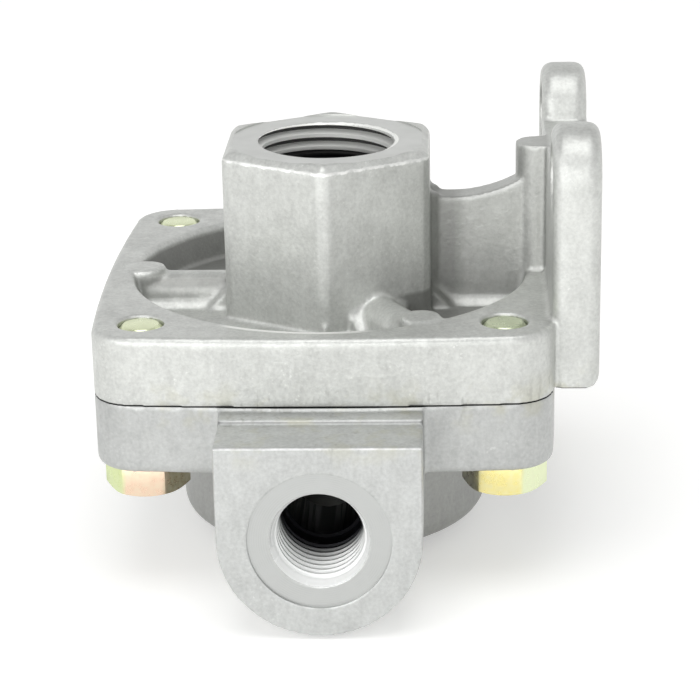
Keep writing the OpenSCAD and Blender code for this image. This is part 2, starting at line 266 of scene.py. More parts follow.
# %% Node group: cast skin
cast_skin, skin_in, skin_out = new_group(
    "cast_skin", {"Grain": 1.0, "Specks": 1.0},
    {"Shade": "NodeSocketFloat", "Speck": "NodeSocketFloat", "Height": "NodeSocketFloat"})
place = object_place(cast_skin)
fine = noise(cast_skin, place, 0.5 * MM, 3.0, 0.6)
drawn = add_node(cast_skin, "ShaderNodeVectorMath", i0=place, i1=(1, 1, 0.3))
drawn.operation = "MULTIPLY"
streaks = noise(cast_skin, drawn.outputs[0], 1.5 * MM, 2.0)
pits = noise(cast_skin, place, 1.3 * MM, 2.0)
patches = noise(cast_skin, place, 9.0 * MM, 3.0, 0.55)
mottle = noise(cast_skin, place, 2.4 * MM, 2.0)
crystals = add_node(cast_skin, "ShaderNodeTexVoronoi", Vector=place, Scale=1 / (0.24 * MM))
crystal_value = add_node(cast_skin, "ShaderNodeSeparateColor",
                         Color=crystals.outputs["Color"]).outputs[0]
clusters = stretch(cast_skin, noise(cast_skin, place, 5.0 * MM, 2.0), 0.5, 0.72)
speck = math_node(cast_skin, "MULTIPLY",
                  stretch(cast_skin, crystal_value, 0.94, 1.0, 0, 0.8), clusters, True)
speck = math_node(cast_skin, "MULTIPLY", speck, skin_in.outputs["Specks"], True)
shade = math_node(cast_skin, "ADD", stretch(cast_skin, patches, 0.3, 0.7, -0.05, 0.05),
                  stretch(cast_skin, fine, 0.25, 0.75, -0.13, 0.13))
shade = math_node(cast_skin, "ADD", shade, stretch(cast_skin, streaks, 0.3, 0.7, -0.05, 0.05))
shade = math_node(cast_skin, "ADD", shade, stretch(cast_skin, mottle, 0.3, 0.7, -0.045, 0.045))
height = math_node(cast_skin, "ADD", math_node(cast_skin, "MULTIPLY", fine, 0.55),
                   math_node(cast_skin, "MULTIPLY", pits, 0.8))
height = math_node(cast_skin, "MULTIPLY", height, skin_in.outputs["Grain"])
height = math_node(cast_skin, "ADD", height, math_node(cast_skin, "MULTIPLY", speck, 0.35))
for title, socket in (("Shade", shade), ("Speck", speck), ("Height", height)):
    cast_skin.links.new(socket, skin_out.inputs[title])
print("cast_skin has", len(cast_skin.nodes), "nodes")

# %% [markdown]
# ## Painted shade in hollows, and grease in the joint
# The hollows of a casting are painted darker, as painted shade, and the thin gap of the joint
# between cover and body fills with black grease. Two small groups find these places: one is 1
# inside a given radius and below a given height, the other is 1 close to the joint, and also
# finds the yellowish smudges and dark scuffs that hands and tools leave there.

# %% Node groups: painted hollow shade, joint line and smudges
hollow, hollow_in, hollow_out = new_group(
    "hollow_shade_mask", {"Reach": 0.02, "Top": 0.02}, {"Mask": "NodeSocketFloat"})
HOLLOW_BLEND = 0.6 * MM
split = axes_of(hollow, object_place(hollow))
radius = radius_of(hollow, split["X"], split["Y"])
sides = [math_node(hollow, "DIVIDE", math_node(hollow, "SUBTRACT", limit, value), HOLLOW_BLEND, True)
         for limit, value in ((hollow_in.outputs["Reach"], radius),
                              (hollow_in.outputs["Top"], split["Z"]))]
hollow.links.new(math_node(hollow, "MULTIPLY", *sides), hollow_out.inputs["Mask"])

joint, joint_in, joint_out = new_group(
    "joint_marks", {"Half Width": 0.14 * MM},
    {"Line": "NodeSocketFloat", "Smudge": "NodeSocketFloat", "Scuff": "NodeSocketFloat"})
place = object_place(joint)
away = math_node(joint, "SUBTRACT", axes_of(joint, place)["Z"], JOINT_Z)
away = math_node(joint, "ABSOLUTE", away)
inside = math_node(joint, "SUBTRACT", joint_in.outputs["Half Width"], away)
joint.links.new(math_node(joint, "DIVIDE", inside, 0.05 * MM, True), joint_out.inputs["Line"])
near = stretch(joint, away, 0.5 * MM, 4.5 * MM, 1, 0)
smudge = stretch(joint, noise(joint, place, 4.5 * MM, 3.0, 0.6), 0.52, 0.64)
joint.links.new(math_node(joint, "MULTIPLY", near, smudge), joint_out.inputs["Smudge"])
drawn = add_node(joint, "ShaderNodeVectorMath", i0=place, i1=(1, 1, 0.35))
drawn.operation = "MULTIPLY"
scuff = stretch(joint, noise(joint, drawn.outputs[0], 0.9 * MM, 2.0), 0.58, 0.66)
scuff = math_node(joint, "MULTIPLY", scuff, stretch(joint, noise(joint, place, 8 * MM), 0.5, 0.6))
joint.links.new(math_node(joint, "MULTIPLY", near, scuff), joint_out.inputs["Scuff"])
print("groups:", hollow.name, joint.name)

# %% [markdown]
# ## The two cast finishes
# Cover and body come from the same metal, but the cover's skin is rougher and the body is a
# little greyer. Each material turns the shade of the skin into a colour, and lets the specks
# shine more than the ground between them. Painted shade darkens the ring recess round the
# hexagon on the cover, and the round bowl under the flange on the body. The web beside the
# hexagon gets a painted shadow of the hexagon through a mask of its own, and the front left of
# the recess gets no painted shade. Painted highlights run round the top of the hexagon and along
# the front rim of the recess. On the body, a painted highlight runs along the upper edge of each
# port face, and painted shade lies under the ledge.

# %% Materials: cast aluminium
WEB_START, WEB_END = 14.2 * MM, 31.0 * MM
WEB_HALF = 3.6 * MM
# Between these two distances the painted shadow of the hexagon on the web fades out.
WEB_SHADOW_DARK_END, WEB_SHADOW_LIGHT_START = 17.5 * MM, 19.5 * MM
# The front left of the recess gets no painted shade; these limits set where it begins.
SHADE_NONE_Y, SHADE_FULL_Y = -3.4 * MM, -2.2 * MM
SHADE_NONE_X, SHADE_FULL_X = 8.5 * MM, 11.0 * MM
HEX_REACH = 17.0 * MM
# Where the painted highlight on the rim of the recess fades out, towards the front.
RIM_HIGHLIGHT = (("Y", -23.0 * MM, -24.5 * MM), ("X", 7.0 * MM, 5.0 * MM), ("X", -14.0 * MM, -12.0 * MM))
FLANGE_END, LEDGE_START = 33.0 * MM, 34.0 * MM
# How strongly painted shade darkens the hollows of the cover and of the body.
COVER_HOLLOW_SHADE, BODY_HOLLOW_SHADE = 0.68, 0.55
FLANGE_DULLNESS = 0.14
# How dark the painted shade under the ledges is.
LEDGE_SHADE_AMOUNT = 0.6
MARK_STRENGTH = 0.36


def web_shadow_mask(tree):
    """1 on the web and the column between hexagon and plate, and how dark the painted shadow of the
    hexagon is there.
    """
    split = axes_of(tree, object_place(tree))
    across = split["X"]
    beside = math_node(tree, "MULTIPLY", stretch(tree, across, WEB_START, WEB_START + 0.3 * MM),
                       stretch(tree, across, WEB_END - 0.4 * MM, WEB_END, 1, 0))
    thin = math_node(tree, "LESS_THAN", math_node(tree, "ABSOLUTE", split["Y"]), WEB_HALF)
    # Painted shadow of the hexagon: darkest next to it, fading out further along the web.
    dull = stretch(tree, across, WEB_SHADOW_DARK_END, WEB_SHADOW_LIGHT_START, 0.95, 0.4)
    return math_node(tree, "MULTIPLY", beside, thin), dull


def shaded_part_of_recess(tree):
    """1 in the parts of the recess that get painted shade: at the back and beside the web."""
    split = axes_of(tree, object_place(tree))
    return math_node(tree, "MAXIMUM", stretch(tree, split["Y"], SHADE_NONE_Y, SHADE_FULL_Y),
                     stretch(tree, split["X"], SHADE_NONE_X, SHADE_FULL_X))


def cover_painted_highlights(tree):
    """Painted highlights: ragged bright lines under the bevel of the hexagon and on the front rim of
    the recess.
    """
    place = object_place(tree)
    split = axes_of(tree, place)
    radius = radius_of(tree, split["X"], split["Y"])
    ragged = noise(tree, place, 1.1 * MM, 2.0)
    shift = stretch(tree, ragged, 0.3, 0.7, -0.14 * MM, 0.14 * MM)
    level = math_node(tree, "ADD", split["Z"], shift)
    off = math_node(tree, "ABSOLUTE", math_node(tree, "SUBTRACT", level, HEX_TOP - HEX_BEVEL))
    hexagon = math_node(tree, "MULTIPLY", stretch(tree, off, 0.1 * MM, 0.24 * MM, 1, 0),
                        stretch(tree, radius, HEX_REACH, HEX_REACH + 0.2 * MM, 1, 0))
    hexagon = math_node(tree, "MULTIPLY", hexagon, stretch(tree, ragged, 0.35, 0.6, 0.25, 0.8))
    off = math_node(tree, "ABSOLUTE", math_node(tree, "SUBTRACT", radius, RECESS_R + 0.6 * MM))
    rim = math_node(tree, "MULTIPLY", stretch(tree, off, 0.5 * MM, 0.75 * MM, 1, 0),
                    stretch(tree, split["Z"], COVER_TOP - 1.2 * MM, COVER_TOP - 0.9 * MM))
    for axis, none_at, full_at in RIM_HIGHLIGHT:
        rim = math_node(tree, "MULTIPLY", rim, stretch(tree, split[axis], none_at, full_at))
    return math_node(tree, "MAXIMUM", hexagon, math_node(tree, "MULTIPLY", rim, 0.85))


def edge_highlight_and_ledge_shade(tree):
    """The painted highlight on the port blocks' upper edges, the painted shade under the ledges, the
    darker flange.
    """
    place = object_place(tree)
    split = axes_of(tree, place)
    out = math_node(tree, "ABSOLUTE", split["Y"])
    ragged = stretch(tree, noise(tree, place, 1.2 * MM, 2.0), 0.3, 0.7, 0.35, 1)
    edge = math_node(tree, "MULTIPLY", stretch(tree, out, PORT_FACE - 0.3 * MM, PORT_FACE - 0.2 * MM),
                     stretch(tree, split["Z"], BLOCK_TOP - 0.3 * MM, BLOCK_TOP - 0.2 * MM))
    under = math_node(tree, "MULTIPLY", stretch(tree, out, LEDGE_Y - 0.5 * MM, LEDGE_Y - 0.3 * MM),
                      stretch(tree, out, LEDGE_Y + 0.15 * MM, LEDGE_Y + 0.35 * MM, 1, 0))
    low = stretch(tree, split["Z"], BLOCK_TOP + 0.28 * MM, BLOCK_TOP + 0.4 * MM, 1, 0)
    flange = math_node(tree, "MULTIPLY", stretch(tree, out, FLANGE_END, LEDGE_START, 1, 0),
                       stretch(tree, split["Z"], FLANGE_BOTTOM - 0.1 * MM, FLANGE_BOTTOM))
    return (math_node(tree, "MULTIPLY", edge, ragged), math_node(tree, "MULTIPLY", under, low),
            flange)


def cast_finish(name, colour, grain, specks, rough, reach, top, has_web=False):
    """Cast aluminium; painted shade darkens it inside the radius reach and below the height top."""
    finish, tree, shader = new_finish(name)
    skin = use_group(tree, cast_skin, Grain=grain, Specks=specks)
    dark = [0.82 * c for c in colour] + [1]
    pale = [1.18 * c for c in colour] + [1]
    ground = mix_colour(tree, stretch(tree, skin.outputs["Shade"], -0.2, 0.2), dark, pale)
    ground = mix_colour(tree, skin.outputs["Speck"], ground, (0.95, 0.96, 0.93, 1))
    # Painted shade in the hollows: the ring recess of the cover, the bowl under the body flange.
    deep = use_group(tree, hollow, Reach=reach, Top=top).outputs["Mask"]
    if has_web:
        # On the web, the painted shadow of the hexagon takes the place of the painted hollow shade.
        web, shaded = web_shadow_mask(tree)
        deep = mix_value(tree, web, math_node(tree, "MULTIPLY", deep, shaded_part_of_recess(tree)), shaded)
    hollow_shade = math_node(tree, "MULTIPLY", deep, COVER_HOLLOW_SHADE if has_web else BODY_HOLLOW_SHADE)
    # The colour of the painted shade.
    ground = mix_colour(tree, hollow_shade, ground, (0.2, 0.2, 0.19, 1))
    if has_web:
        # Painted highlights on the edges of the cover.
        ground = mix_colour(tree, cover_painted_highlights(tree), ground, (1, 1, 0.98, 1))
    else:
        edge_highlight, ledge_shade, flange = edge_highlight_and_ledge_shade(tree)
        dull = math_node(tree, "MULTIPLY", flange, FLANGE_DULLNESS)
        ground = mix_colour(tree, dull, ground, (0.2, 0.2, 0.2, 1))
        # Painted shade under the ledges, then the painted highlight on the upper edges of the port
        # faces.
        ledge_shade_amount = math_node(tree, "MULTIPLY", ledge_shade, LEDGE_SHADE_AMOUNT)
        ground = mix_colour(tree, ledge_shade_amount, ground, (0.1, 0.1, 0.1, 1))
        ground = mix_colour(tree, edge_highlight, ground, (1, 1, 1, 1))
    marks = use_group(tree, joint)
    for title, tint in (("Smudge", (0.47, 0.46, 0.33, 1)), ("Scuff", (0.28, 0.28, 0.26, 1))):
        strength = math_node(tree, "MULTIPLY", marks.outputs[title], MARK_STRENGTH)
        ground = mix_colour(tree, strength, ground, tint)
    ground = mix_colour(tree, marks.outputs["Line"], ground, (0.015, 0.015, 0.015, 1))
    tree.links.new(ground, shader.inputs["Base Color"])
    tree.links.new(stretch(tree, skin.outputs["Speck"], 0, 1, rough, rough - 0.18),
                   shader.inputs["Roughness"])
    shader.inputs["Metallic"].default_value = 0.75
    bump = add_node(tree, "ShaderNodeBump", Height=skin.outputs["Height"], Strength=0.6,
                    Distance=0.06 * MM)
    tree.links.new(bump.outputs[0], shader.inputs["Normal"])
    return finish


cover_metal = cast_finish("cast_cover", (0.60, 0.61, 0.588), grain=1.5, specks=0.5, rough=0.46,
                          reach=RECESS_R + 0.3 * MM, top=COVER_TOP - 0.6 * MM, has_web=True)
body_metal = cast_finish("cast_body", (0.53, 0.54, 0.53), grain=1.1, specks=0.3, rough=0.45,
                         reach=BOWL_R + 0.8 * MM, top=FLANGE_BOTTOM - 0.1 * MM)
print("materials:", cover_metal.name, body_metal.name)

# %% [markdown]
# ## Machined metal
# A cutter leaves fine rings round its axis. The rings come from the distance to that axis, so
# the node group takes this distance as an input, and the machined materials measure it round
# the Z axis for the supply port and round a line along Y for the delivery ports. The torn metal
# of the threads scatters more light. Deep inside, painted shade turns them black. The roots of
# the supply thread, and its faces that look down, get painted shade too, in a finish of their own.

# %% Node group and materials: turned faces
turning, turn_in, turn_out = new_group(
    "turning_marks", {"Radius": 0.0, "Feed": 0.3 * MM},
    {"Ring": "NodeSocketFloat", "Height": "NodeSocketFloat"})
wave = math_node(turning, "DIVIDE", turn_in.outputs["Radius"], turn_in.outputs["Feed"])
wobble = noise(turning, object_place(turning), 2.5 * MM)
wave = math_node(turning, "ADD", math_node(turning, "MULTIPLY", wave, 2 * math.pi), wobble)
ring = math_node(turning, "MULTIPLY_ADD", math_node(turning, "SINE", wave), 0.5)
ring.node.inputs[2].default_value = 0.5
uneven = math_node(turning, "MULTIPLY", ring, stretch(turning, wobble, 0.35, 0.65))
turning.links.new(uneven, turn_out.inputs["Ring"])
turning.links.new(ring, turn_out.inputs["Height"])


def turned_finish(name, colour, axes, centre, rough, metallic=0.92, fade=None):
    """Machined aluminium with rings round the line through centre, across these two axes.

    fade is an axis and two distances along it; painted shade makes the surface black up to the first
    one.
    """
    finish, tree, shader = new_finish(name)
    split = axes_of(tree, object_place(tree))
    away = [math_node(tree, "SUBTRACT", split[axis], middle) for axis, middle in zip(axes, centre)]
    marks = use_group(tree, turning, Radius=radius_of(tree, *away))
    dark = [0.95 * c for c in colour] + [1]
    base = mix_colour(tree, marks.outputs["Ring"], list(colour) + [1], dark)
    if fade:
        axis, black_at, unshaded_at = fade
        out = math_node(tree, "ABSOLUTE", split[axis])
        # Painted shade: black deep inside the bore.
        unshaded = stretch(tree, out, black_at, unshaded_at)
        base = mix_colour(tree, unshaded, (0.02, 0.02, 0.022, 1), base)
        tree.links.new(mix_value(tree, unshaded, 1.0, metallic), shader.inputs["Metallic"])
    tree.links.new(base, shader.inputs["Base Color"])
    tree.links.new(stretch(tree, marks.outputs["Ring"], 0, 1, rough, rough + 0.12),
                   shader.inputs["Roughness"])
    shader.inputs["Metallic"].default_value = metallic
    bump = add_node(tree, "ShaderNodeBump", Height=marks.outputs["Height"], Strength=0.15,
                    Distance=0.01 * MM)
    tree.links.new(bump.outputs[0], shader.inputs["Normal"])
    return finish


SUPPLY_AXIS = ("XY", (0, 0))
PORT_AXIS = ("XZ", (0, PORT_Z))
supply_turned = turned_finish("turned_supply", (0.62, 0.63, 0.61), *SUPPLY_AXIS, rough=0.34)
port_turned = turned_finish("turned_ports", (0.51, 0.52, 0.51), *PORT_AXIS, rough=0.34)
supply_cut = turned_finish("cut_supply_thread", (0.86, 0.87, 0.84), *SUPPLY_AXIS, rough=0.45,
                           metallic=0.35, fade=("Z", HEX_FACE - 5 * MM, HEX_FACE - 3.4 * MM))
port_cut = turned_finish("cut_port_thread", (0.93, 0.94, 0.93), *PORT_AXIS, rough=0.4,
                         metallic=0.15, fade=("Y", PORT_FACE - 11 * MM, PORT_FACE - 6.5 * MM))
# Painted shade for the roots of the supply thread and its faces that look down.
thread_shade = turned_finish("supply_thread_painted_shade", (0.06, 0.06, 0.058), *SUPPLY_AXIS, rough=0.5,
                            metallic=0.3)
print("materials:", supply_turned.name, port_turned.name, supply_cut.name, port_cut.name,
      thread_shade.name)

# %% [markdown]
# ## Yellow-passivated bolts
# Zinc plating that was dipped in a chromate bath shows thin-film colours: straw yellow, with
# drifts of pink and green. The colour changes across the valve, as each bolt dried in its own
# way, and a slow noise moves the borders. The tips that stick out of the cover are paler. The
# sides of the heads that face the bowl are darker, which is painted shade.

# %% Material: yellow zinc
FILM_REACH, TIP_REACH = 30 * MM, 10 * MM
HEAD_COLOUR_END, TIP_COLOUR_START = 28 * MM, 34 * MM
zinc, tree, shader = new_finish("yellow_zinc")
place = object_place(tree)
split = axes_of(tree, place)
drift = stretch(tree, noise(tree, place, 5.0 * MM, 1.0), 0.3, 0.7, -0.005, 0.005)
across = math_node(tree, "ADD", stretch(tree, split["X"], -FILM_REACH, FILM_REACH), drift)
film = tree.nodes.new("ShaderNodeValToRGB")
# The stops from 0.15 to 0.838 are painted shade on the sides of the heads that face the bowl.
FILM_AND_SHADE = ((0.0, (0.60, 0.70, 0.31)), (0.042, (0.62, 0.70, 0.33)), (0.054, (0.83, 0.62, 0.46)),
        (0.138, (0.80, 0.59, 0.44)), (0.15, (0.34, 0.29, 0.18)), (0.838, (0.18, 0.16, 0.10)),
        (0.85, (0.83, 0.73, 0.31)), (0.936, (0.83, 0.74, 0.30)), (0.946, (0.77, 0.84, 0.55)))
for index, (spot, colour) in enumerate(FILM_AND_SHADE):
    if index < 2:
        stop = film.color_ramp.elements[index]
        stop.position = spot
    else:
        stop = film.color_ramp.elements.new(spot)
    stop.color = colour + (1,)
tree.links.new(across, film.inputs[0])
tips = mix_colour(tree, stretch(tree, split["X"], -TIP_REACH, TIP_REACH),
                  (0.78, 0.84, 0.56, 1), (0.60, 0.67, 0.46, 1))
plated = mix_colour(tree, stretch(tree, split["Z"], HEAD_COLOUR_END, TIP_COLOUR_START),
                    film.outputs[0], tips)
dull = noise(tree, place, 0.8 * MM, 3.0)
tree.links.new(mix_colour(tree, stretch(tree, dull, 0.35, 0.75, 0, 0.35),
                          plated, (0.80, 0.80, 0.62, 1)), shader.inputs["Base Color"])
tree.links.new(stretch(tree, dull, 0.3, 0.7, 0.24, 0.38), shader.inputs["Roughness"])
shader.inputs["Metallic"].default_value = 0.9
bump = add_node(tree, "ShaderNodeBump", Height=dull, Strength=0.2, Distance=0.02 * MM)
tree.links.new(bump.outputs[0], shader.inputs["Normal"])
print("material:", zinc.name)

# %% [markdown]
# ## Rubber
# The diaphragm and the sealing ring are moulded black rubber. Rubber is never quite black: a
# faint bloom makes it greyer in patches, and a fine grain breaks up its dull gloss.


# %% Materials: moulded rubber
def rubber_finish(name, grey, rough):
    finish, tree, shader = new_finish(name)
    place = object_place(tree)
    bloom = noise(tree, place, 4.0 * MM, 3.0)
    tree.links.new(mix_colour(tree, stretch(tree, bloom, 0.35, 0.7), (grey, grey, grey, 1),
                              (2 * grey, 2 * grey, 1.9 * grey, 1)), shader.inputs["Base Color"])
    grain = noise(tree, place, 0.3 * MM, 2.0)
    tree.links.new(stretch(tree, bloom, 0.3, 0.7, rough, rough + 0.15),
                   shader.inputs["Roughness"])
    bump = add_node(tree, "ShaderNodeBump", Height=grain, Strength=0.3, Distance=0.03 * MM)
    tree.links.new(bump.outputs[0], shader.inputs["Normal"])
    return finish


diaphragm_rubber = rubber_finish("diaphragm_rubber", grey=0.028, rough=0.55)
seal_rubber = rubber_finish("seal_rubber", grey=0.018, rough=0.42)
print("materials:", diaphragm_rubber.name, seal_rubber.name)

# %% [markdown]
# ## From sharp solids to castings
# A casting has no knife edges: every corner, inside and out, is rounded by the mould. Bevels
# on each edge would be long work. Instead a copy of the solid is remeshed into small even
# faces, smoothed until its corners are round, and thinned out again. The joint faces, the
# ledges beside them and the port faces are flat with sharp edges, so the points next to them
# only get the first round of the smoothing, and stay crisp, as do the edges of the tapped
# holes. The round foot of the hexagon is trimmed first, between the ribs, and gets more rounds,
# so that its flats run straight down and turn softly into the floor.

# %% Make a casting from a solid
VOXEL = 0.3 * MM
CASTING_TRIANGLES = 120000
ROUNDS, FOOT_ROUNDS = 5, 14
FOOT_R = 19.5 * MM
FOOT_HEIGHT = 4.6 * MM
FLAT_REACH = 12.0 * MM
WALL_HALF = 4.5 * MM
FREE_FLATS = (2, 4)
FOOT_BLEND_R = 19.0 * MM
FOOT_BLEND_Z, FOOT_BLEND_HALF = 34.0 * MM, 2.2 * MM
TAPPED_KEEP_R = 4.4 * MM
JOINT_KEEP, LEDGE_KEEP, PORT_KEEP = 0.4 * MM, 1.8 * MM, 0.8 * MM


def solid_copy(node, name):
    """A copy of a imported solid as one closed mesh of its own."""
    only(frame["nodes"][node])
    bpy.ops.object.duplicate()
    piece = bpy.context.object
    bpy.ops.object.parent_clear(type="CLEAR_KEEP_TRANSFORM")
    del piece["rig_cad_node"]
    piece.name = piece.data.name = name
    piece.data.materials.clear()
    edit_all(piece)
    bpy.ops.mesh.remove_doubles(threshold=0.002 * MM)
    leave_edit()
    return piece


def spots(piece):
    """The X, Y and Z of every vertex, as three rows."""
    flat = np.empty(3 * len(piece.data.vertices), np.float32)
    piece.data.vertices.foreach_get("co", flat)
    return flat.reshape(-1, 3).T


def soften(piece, crisp, foot=None):
    """Remeshes a solid and rounds its corners; crisp says which places stay sharper.

    foot says where a wall runs out into the floor, which takes more rounds.
    """
    apply_modifier(piece, "REMESH", mode="VOXEL", voxel_size=VOXEL)
    apply_modifier(piece, "SMOOTH", factor=0.5, iterations=1)
    free = piece.vertex_groups.new(name="free")
    free.add([int(i) for i in np.flatnonzero(~crisp(*spots(piece)))], 1.0, "REPLACE")
    apply_modifier(piece, "SMOOTH", factor=0.5, iterations=ROUNDS, vertex_group="free")
    if foot:
        blend = piece.vertex_groups.new(name="blend")
        blend.add([int(i) for i in np.flatnonzero(foot(*spots(piece)))], 1.0, "REPLACE")
        apply_modifier(piece, "SMOOTH", factor=0.5, iterations=FOOT_ROUNDS, vertex_group="blend")
    made = triangles(piece)
    apply_modifier(piece, "DECIMATE", ratio=min(1.0, CASTING_TRIANGLES / made))
    piece.vertex_groups.clear()
    print(piece.name, "remeshed to", made, "and thinned to", triangles(piece), "triangles")


def trim_foot(piece):
    """Lets the flats of the hexagon run down to the recess floor between ribs and web."""
    inner, outer = HEX_APOTHEM + 0.03 * MM, FOOT_R
    whole_flat = ((-FLAT_REACH, FLAT_REACH),)
    beside_wall = ((-FLAT_REACH, -WALL_HALF), (WALL_HALF, FLAT_REACH))
    for flat in range(6):
        for low, high in whole_flat if flat in FREE_FLATS else beside_wall:
            bpy.ops.object.select_all(action="DESELECT")
            bpy.ops.mesh.primitive_cube_add(size=1, location=(0, 0, 0))
            tool = bpy.context.object
            edit_all(tool)
            bpy.ops.transform.resize(value=(outer - inner, high - low, FOOT_HEIGHT),
                                     center_override=(0, 0, 0))
            bpy.ops.transform.translate(value=((inner + outer) / 2, (low + high) / 2,
                                               RECESS_FLOOR + 0.05 * MM + FOOT_HEIGHT / 2))
            bpy.ops.transform.rotate(value=-flat * math.pi / 3, orient_axis="Z",
                                     center_override=(0, 0, 0))
            leave_edit()
            apply_modifier(piece, "BOOLEAN", operation="DIFFERENCE", object=tool, solver="EXACT")
            bpy.data.objects.remove(tool)
    print("the foot of the hexagon is trimmed,", triangles(piece), "triangles")


def crisp_cover(x, y, z):
    """Next to the joint face and round the tapped holes."""
    from_bolt = np.hypot(np.abs(x) - BOLT_C, np.abs(y) - BOLT_C)
    return (z < JOINT_Z + JOINT_KEEP) | (from_bolt < TAPPED_KEEP_R)


def hexagon_foot(x, y, z):
    """Where the hexagon meets the floor of the recess."""
    return (np.hypot(x, y) < FOOT_BLEND_R) & (np.abs(z - FOOT_BLEND_Z) < FOOT_BLEND_HALF)


def crisp_body(x, y, z):
    """Next to the joint face, the port faces and the ledges."""
    ledge = (z > JOINT_Z - LEDGE_KEEP) & (np.abs(y) > FLANGE_HALF - 1 * MM)
    return (z > JOINT_Z - JOINT_KEEP) | (np.abs(y) > PORT_FACE - PORT_KEEP) | ledge


cover = solid_copy("cover", "cover_casting")
trim_foot(cover)
soften(cover, crisp_cover, hexagon_foot)
body = solid_copy("body", "body_casting")
soften(body, crisp_body)

# %% [markdown]
# ## Turned cutters
# The machined features are cut after the smoothing, so they stay crisp, just as they are cut
# after casting on the real part. A cutter is a disc that is extruded and scaled step by step
# along its axis, which follows the outline of the real tool. Where a cutter would lie exactly
# on a wall of the solid it is a hair larger or deeper, because such twin faces leave ragged cuts.

# %% Make the cutters for bores and faces
OVERSHOOT = 1.0 * MM


def turned(name, steps, finish, sides=96):
    """A solid of revolution round Z; steps are (radius, height) pairs."""
    bpy.ops.object.select_all(action="DESELECT")
    bpy.ops.mesh.primitive_circle_add(vertices=sides, radius=steps[0][0], fill_type="NGON",
                                      location=(0, 0, steps[0][1]))
    tool = bpy.context.object
    tool.name = name
    bpy.ops.object.transform_apply(location=True, rotation=True, scale=True)
    edit_all(tool)
    for (r0, z0), (r1, z1) in zip(steps, steps[1:]):
        bpy.ops.mesh.extrude_region_move(TRANSFORM_OT_translate={"value": (0, 0, z1 - z0)})
        bpy.ops.transform.resize(value=(r1 / r0, r1 / r0, 1), center_override=(0, 0, z1))
    bpy.ops.mesh.select_all(action="SELECT")
    bpy.ops.mesh.normals_make_consistent(inside=False)
    leave_edit()
    tool.data.materials.append(finish)
    return tool


def settle(tool, location, turn=0.0):
    """Turns a tool about X, moves it, and puts its place into its mesh."""
    only(tool)
    tool.rotation_euler = (turn, 0, 0)
    tool.location = location
    bpy.ops.object.transform_apply(location=True, rotation=True, scale=True)
    return tool


def cut(piece, tool):
    """Cuts the tool out of the piece; the new faces get the tool's finish."""
    apply_modifier(piece, "BOOLEAN", operation="DIFFERENCE", object=tool, solver="EXACT",
                   material_mode="TRANSFER")
    bpy.data.objects.remove(tool)


facing_tool = turned("facing_tool", [(FACING_R, HEX_TOP + 2 * OVERSHOOT), (FACING_R, HEX_FACE)],
                     supply_turned)
supply_tool = turned("supply_tool", [
    (SUPPLY_MOUTH_R + OVERSHOOT, HEX_FACE + OVERSHOOT),
    (SUPPLY_R, HEX_FACE + SUPPLY_R - SUPPLY_MOUTH_R),
    (SUPPLY_R, SUPPLY_END - 0.2 * MM), (PASSAGE_R, SUPPLY_END - 2.1 * MM),
    (PASSAGE_R, JOINT_Z - 0.5 * MM)], supply_cut)
print("supply tool has", len(supply_tool.data.polygons), "faces")

# %% [markdown]
# ## Thread cutters
# A thread is one groove that winds round the bore. Its cutter is a small trapezium, wide at
# the bore and narrow at the root, that a Screw modifier sweeps along a helix. The two open
# ends are filled, and the cutter then takes its groove out of the wall. The groove's width and
# how far the cutter starts inside the bore are shares of the pitch, and the root's width is a
# share of the groove's.

# %% Make the thread cutters
GROOVE_SHARE = 0.84
ROOT_SHARE = 0.2
OVERLAP_SHARE = 0.12
STEPS_PER_TURN = 72


def thread_tool(name, minor_r, major_r, pitch, start, turns, finish):
    """A helical cutter round Z that climbs from the height of start."""
    inner_r = minor_r - OVERLAP_SHARE * pitch
    bpy.ops.object.select_all(action="DESELECT")
    bpy.ops.mesh.primitive_plane_add(size=1, rotation=(math.pi / 2, 0, 0))
    tool = bpy.context.object
    tool.name = name
    bpy.ops.object.transform_apply(location=True, rotation=True, scale=True)
    edit_all(tool)
    bpy.ops.mesh.delete(type="ONLY_FACE")
    bpy.ops.mesh.select_all(action="SELECT")
    bpy.ops.transform.resize(value=(major_r - inner_r, 1, GROOVE_SHARE * pitch),
                             center_override=(0, 0, 0))
    bpy.ops.transform.translate(value=((major_r + inner_r) / 2, 0, start))
    leave_edit()
    for corner in tool.data.vertices:
        corner.select = corner.co.x > (major_r + inner_r) / 2
    for edge in tool.data.edges:
        edge.select = all(tool.data.vertices[i].select for i in edge.vertices)
    bpy.ops.object.mode_set(mode="EDIT")
    bpy.ops.transform.resize(value=(1, 1, ROOT_SHARE), center_override=(0, 0, start))
    leave_edit()
    apply_modifier(tool, "SCREW", axis="Z", screw_offset=pitch, iterations=turns,
                   steps=STEPS_PER_TURN, render_steps=STEPS_PER_TURN)
    edit_all(tool)
    bpy.ops.mesh.fill_holes(sides=4)
    bpy.ops.mesh.select_all(action="SELECT")
    bpy.ops.mesh.normals_make_consistent(inside=False)
    leave_edit()
    tool.data.materials.append(finish)
    return tool


supply_thread = thread_tool("supply_thread", SUPPLY_R, SUPPLY_MAJOR_R, SUPPLY_PITCH,
                            SUPPLY_END + SUPPLY_RUNOUT, SUPPLY_TURNS, supply_cut)
print("supply thread tool has", len(supply_thread.data.polygons), "faces")

# %% [markdown]
# ## Machining the cover
# First the face and the bore, then the thread, then the four tapped holes with a small bevel
# at the top. The cast finish goes on first, so that it keeps the first material slot. Last, the
# faces at the root of the thread, and those that look down, take the dark finish, which is painted
# shade.

